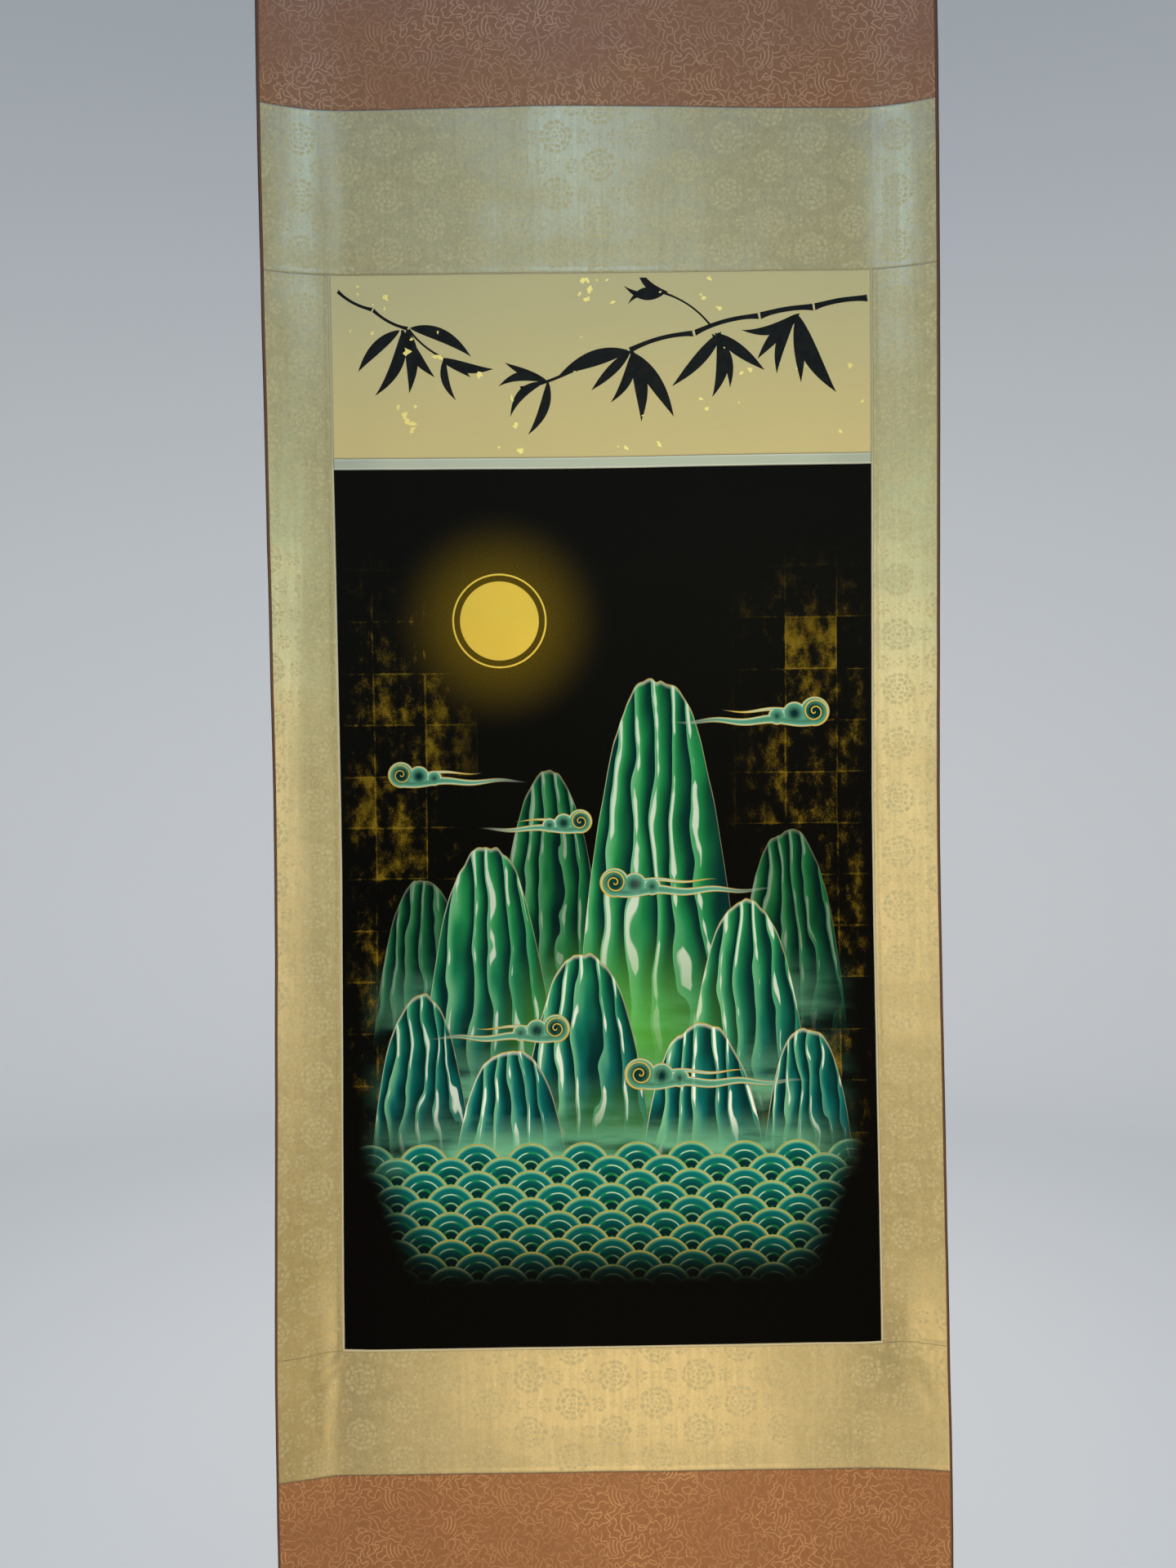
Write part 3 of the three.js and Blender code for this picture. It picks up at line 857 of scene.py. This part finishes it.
def damask_silk():
    """Satin ground with upright threads that shine, and a figure of crosswise threads that
    doesn't, so the figure is darker where the ground catches the light and paler elsewhere. The
    threads of both show as a fine grain. The two lower corners, the left more than the right, have
    their gloss dulled as by handling and their colour darkened by painted shade."""
    f = Finish("olive_damask")
    x, drop = f.place()
    wobble = f.noise(x, drop, 7, 1, 0.5, 1.0) - 0.5
    warp = f.noise(x * 3.0, drop * 0.2, 2.6, 2, 0.65, 3.0)
    weft = f.noise(x * 0.16, drop * 3.0, 2.6, 2, 0.65, 8.0)
    slub = f.noise(x * 0.05, drop, 4.0, 2, 0.6, 19.0)
    streak = f.noise(x, drop * 0.04, 5.0, 2, 0.6, 30.0)
    figure = medallion_figure(f, x + wobble * 9, drop + (warp - weft) * 3.2)
    grain = f.noise(x, drop * 0.8, 3.0, 1, 0.6, 50.0)
    handling_wear_and_shade = (x.step(-280.0, -345.0) + 0.25 * x.step(280.0, 345.0)) * drop.step(1380.0, 1620.0)
    base = f.mix(figure, colour(166, 150, 98), colour(184, 171, 128))
    base = f.tint(base, 0.45 + 0.20 * warp + 0.20 * weft + 0.10 * slub + 0.08 * streak + 0.52 * grain)
    # Painted shade: the lower corners darkened, the left most
    base = f.tint(base, 1 - 0.14 * handling_wear_and_shade)
    # Painted shade: the rim darkened, as shade in the seams and under the laps
    base = f.mix(seam_shade_of(f) * 0.6, base, colour(84, 74, 44))
    f.bump(warp + weft, 0.00035, 0.4)
    gloss = (1 - 0.88 * figure) * (0.5 + streak) * (1 - 0.75 * handling_wear_and_shade)
    return f.done(
        base, 0.55, Coat_Weight=gloss, Coat_Roughness=0.30, Coat_IOR=1.75,
        Sheen_Weight=0.12, Sheen_Roughness=0.4, Specular_IOR_Level=0.4)


DAMASK = damask_silk()
for name, left, right, top, bottom, step, over in (
    ("upper_damask_band", -PANEL_EDGE, PANEL_EDGE, *ROWS["upper"], SILK_STEP, "top bottom"),
    ("left_damask_border", -PANEL_EDGE, -BORDER_INNER, *BORDER_DROPS, SILK_STEP, "right bottom"),
    ("right_damask_border", BORDER_INNER, PANEL_EDGE, *BORDER_DROPS, SILK_STEP, "left bottom"),
    ("lower_damask_band", -PANEL_EDGE, PANEL_EDGE,
     ROWS["fillet"][1] - FILLET_LAP, ROWS["lower"][1], CREASED_STEP, "bottom"),
):
    panel = cloth_piece(name + "_silk", left, right, top, bottom, step, [DAMASK, PAPER_BACK], over=over)
    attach(panel, "root")
    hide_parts(name)
    (right - left) / 1000
    (bottom - top) / 1000

# Brocade: the two end panels, rust silk with a fine wandering line and sprays of combed lines.
# Each has a narrow hem turned to the back, at the top of the one and at the foot of the other.
SPRAY_ACROSS, SPRAY_DROP = 62, 58


def wandering_lines(f, x, y):
    """1 on fine lines that wander over the cloth, where a noise crosses its middle. The distance
    to the line is the noise's height over its steepness, found from two places close by."""
    near = 0.4

    def level(at_x, at_y):
        return f.noise(at_x, at_y, 8, 0.0, distortion=0.55) - 0.5

    here = level(x, y)
    steepness = hypot(level(x + near, y) - here, level(x, y + near) - here) / near
    return (abs(here) / steepness.max(0.006)).step(0.85, 0.35)


def brocade_silk():
    """Rust ground with the figure a shade lighter, ribbed crosswise, and slubbed both ways."""
    f = Finish("rust_brocade")
    x, drop = f.place()
    fade = f.noise(x, drop, 15, 1, 0.5, 40.0)
    lines = wandering_lines(f, x, drop) * fade.step(0.22, 0.44)
    # Fans of combed lines in a half-drop repeat, which push the wandering lines aside
    column = (x / SPRAY_ACROSS).round()
    odd = column % 2
    dx = (x - column * SPRAY_ACROSS) * (odd * 2 - 1) + 12
    shifted = drop + odd * (SPRAY_DROP / 2) + 14
    dy = shifted - (shifted / SPRAY_DROP).round() * SPRAY_DROP
    r = hypot(dx, dy)
    torn = fade - 0.5
    spread = (r - 15 + torn * 7).step(7.0, 5.0)
    spread = spread * (abs(dy) - dx * 0.62 + torn * 12).step(1.0, -1.0) * (dx > 2.0)
    rings = r / 4.3 + dy * 0.05
    comb = abs(rings - rings.floor() - 0.5).step(0.24, 0.08)
    clear = f.noise(x, drop, 80, 1, 0.5, 70.0).step(0.2, 0.8)
    figure = (lines * (1 - spread) + comb * spread) * (0.25 + 0.75 * clear)
    weft = f.noise(x * 0.2, drop * 3.2, 2.4, 2, 0.65, 5.0)
    warp = f.noise(x * 3.2, drop * 0.25, 2.4, 2, 0.65, 6.0)
    slub = f.noise(x, drop * 0.03, 7.0, 2, 0.6, 12.0)
    grain = f.noise(x, drop * 0.8, 3.0, 1, 0.6, 50.0)
    base = f.mix(figure, colour(143, 94, 55), colour(187, 137, 92))
    base = f.tint(base, 0.57 + 0.18 * weft + 0.18 * warp + 0.12 * slub + 0.40 * grain)
    # Painted shade: the rim darkened, as shade in the seams
    base = f.mix(seam_shade_of(f) * 0.6, base, colour(60, 34, 22))
    f.bump(weft + warp * 0.7, 0.00035, 0.4)
    return f.done(
        base, 0.62, Coat_Weight=0.2 + 0.5 * figure, Coat_Roughness=0.38,
        Sheen_Weight=0.12, Sheen_Roughness=0.45, Specular_IOR_Level=0.35)


BROCADE = brocade_silk()
for name, row, hem in (("heaven_panel", "heaven", 0.0), ("earth_panel", "earth", SHEET_LENGTH)):
    panel = cloth_piece(
        name + "_silk", -PANEL_EDGE, PANEL_EDGE, *ROWS[row], SILK_STEP, [BROCADE, PAPER_BACK], hem=hem)
    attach(panel, "root")
    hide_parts(name)

# Edge bindings: a narrow strip of rust silk folded over each long edge of the whole sheet and
# pasted down front and back, so the raw edges of all the pieces are covered.


def binding_silk():
    """Plain rust silk with its threads along the strip. Its rust is deeper than the end panels', partly
    as painted shade of the edge, and darker still at the fold, in patches, as painted shade.
    """
    f = Finish("rust_binding")
    x, drop = f.place()
    thread = f.noise(x * 3, drop * 0.3, 1.6, 2, 0.6)
    fold_shade_patches = f.noise(x * 0.2, drop, 22, 3, 0.7, 2.0)
    fold = abs(x).step(HALF_SHEET - 2.2, HALF_SHEET - 0.6)
    # Painted shade: the fold darkened in patches; the base rust is partly painted shade of the edge too
    base = f.mix(fold * (0.75 + 0.3 * fold_shade_patches), colour(108, 70, 48), colour(60, 38, 27))
    base = f.tint(base, 0.84 + 0.3 * thread)
    f.bump(thread, 0.0003, 0.4)
    return f.done(base, 0.66, Sheen_Weight=0.12, Specular_IOR_Level=0.35)


def edge_binding(name, side):
    """The strip's closed section, a flat U of constant wall, carried down the sheet's edge. side is
    -1 for the left edge and 1 for the right. Its leaves are 3.8 mm wide at the top, and narrow to
    2.5 mm at the foot."""
    wall, gap = 0.3, CLOTH_HALF + 0.05
    fold = np.linspace(-np.pi / 2, np.pi / 2, 7)
    outer = np.column_stack((np.cos(fold) * (gap + wall) - 0.6, np.sin(fold) * (gap + wall)))
    inner = np.column_stack((np.cos(fold[::-1]) * gap - 0.6, np.sin(fold[::-1]) * gap))
    section = np.concatenate((
        [(-9, -gap - wall)], outer, [(-9, gap + wall)], [(-9, gap)], inner, [(-9, -gap)]))
    drop = stops(0.0, SHEET_LENGTH, 8.0)
    d, u = np.meshgrid(drop, section[:, 0], indexing="ij")
    u = HALF_SHEET + np.maximum(u, -3.8 + 1.3 * d / SHEET_LENGTH)
    proud = -np.broadcast_to(section[:, 1], d.shape)
    points = hang(side * np.minimum(u, HALF_SHEET), d, proud)
    points[..., 0] += side * np.maximum(u - HALF_SHEET, 0) / 1000
    rows, columns = d.shape
    index = np.arange(d.size).reshape(rows, columns)
    beside = np.roll(index, -1, axis=1)
    quads = np.stack((index[:-1], index[1:], beside[1:], beside[:-1]), axis=-1).reshape(-1, 4)
    k = np.arange(columns // 2 - 1)
    cap = np.column_stack((k, k + 1, columns - 2 - k, columns - 1 - k))
    faces = np.concatenate((quads, cap, cap[:, ::-1] + index[-1, 0]))
    if side < 0:
        faces = faces[:, ::-1]
    flat = np.column_stack(((side * u).ravel(), d.ravel()))
    return add_object(name, points.reshape(-1, 3), faces, [BINDING], np.zeros(len(faces), int), flat)


BINDING = binding_silk()
for name, side in (("left_edge_binding", -1), ("right_edge_binding", 1)):
    strip = edge_binding(name + "_silk", side)
    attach(strip, "root")
    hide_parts(name)

# Studio: a pale round dish of a floor, and soft lamps in front: cool ones high up, one cool and one
# warm by the middle, and a warm one at the foot, as where the photo was taken. One more lights the
# dish behind the sheet.
FLOOR = -2.9
DISH_FLAT, DISH_STEEPNESS, DISH_HEIGHT = 5.5, 0.8, 10.0


def studio_floor():
    """A dish, flat in the middle. Farther out its height is its steepness times the square of the
    way past the flat, up to its full height."""
    side = np.linspace(-9.0, 9.0, 91)
    x, y = np.meshgrid(side, side)
    past_flat = np.maximum(np.hypot(x, y) - DISH_FLAT, 0)
    z = FLOOR + np.minimum(DISH_STEEPNESS * past_flat ** 2, DISH_HEIGHT)
    index = np.arange(x.size).reshape(x.shape)
    corners = (index[:-1, :-1], index[:-1, 1:], index[1:, 1:], index[1:, :-1])
    faces = np.stack(corners, axis=-1).reshape(-1, 4)
    f = Finish("studio_paper")
    paper = f.done(
        colour(226, 226, 224), 0.9, Specular_IOR_Level=0.0, Emission_Color=(0.92, 0.96, 1.0, 1),
        Emission_Strength=0.12)
    points = np.stack((x, y, z), axis=-1).reshape(-1, 3)
    return add_object("studio_floor", points, faces, [paper], np.zeros(len(faces), int))


studio_floor()


def add_lamp(name, place, aim, size, power, tone):
    """A soft square lamp, unseen by the camera."""
    light = bpy.data.lights.new(name, "AREA")
    light.shape, light.size, light.size_y = "RECTANGLE", *size
    light.energy, light.color = power, tone
    lamp = bpy.data.objects.new(name, light)
    bpy.context.scene.collection.objects.link(lamp)
    lamp.location = place
    away = np.array(aim, float) - np.array(place, float)
    tilt = math.acos(-away[2] / np.linalg.norm(away))
    lamp.rotation_euler = (tilt, 0, math.atan2(away[0], -away[1]) + math.pi)
    lamp.visible_camera = False


add_lamp("high_cool", (0.0, -2.0, 1.9), (0.0, 0.0, -0.3), (1.8, 1.0), 24, (0.03, 0.25, 1.0))
add_lamp("high_tall", (0.0, -1.9, 0.42), (0.0, 0.0, -0.4), (0.34, 0.7), 6.0, (0.53, 0.83, 0.90))
add_lamp("near_cool", (0.1, -1.0, -0.75), (0.02, 0.0, -1.2), (0.6, 0.5), 2.3, (0.50, 1.0, 0.74))
add_lamp("near_warm", (0.25, -1.05, -1.15), (0.05, 0.0, -1.15), (0.6, 0.7), 6.3, (1.0, 0.70, 0.31))
add_lamp("low_warm", (0.05, -0.85, -2.12), (0.03, 0.0, -1.75), (0.62, 0.34), 4.1, (1.0, 0.69, 0.28))
add_lamp("backdrop", (0.0, 1.0, 1.2), (0.0, 6.5, -1.6), (3.0, 0.8), 110, (1.0, 0.95, 0.90))

world = bpy.data.worlds.new("studio")
world.use_nodes = True
sky = world.node_tree.nodes["Background"].inputs
sky["Color"].default_value = (0.55, 0.76, 1.0, 1)
sky["Strength"].default_value = 0.20
bpy.context.scene.world = world
bpy.context.scene.view_settings.view_transform = "Standard"

# Camera: a phone's main camera, level, 1.34 m in front of the sheet's waist and rolled a little
FOCAL_PIXELS, PHOTO_HEIGHT, ROLL = 1445.0, 1920.0, math.radians(0.71)
camera_data = bpy.data.cameras.new("photo_camera")
camera_data.sensor_width = 36.0
camera_data.lens = 36.0 * FOCAL_PIXELS / PHOTO_HEIGHT
camera = bpy.data.objects.new("photo_camera", camera_data)
bpy.context.scene.collection.objects.link(camera)
camera.location = (-0.0206, FORWARD_AT_MOUNT / 1000 - 1.336, -1.048)
camera.rotation_euler = (math.pi / 2, ROLL, 0)
bpy.context.scene.camera = camera
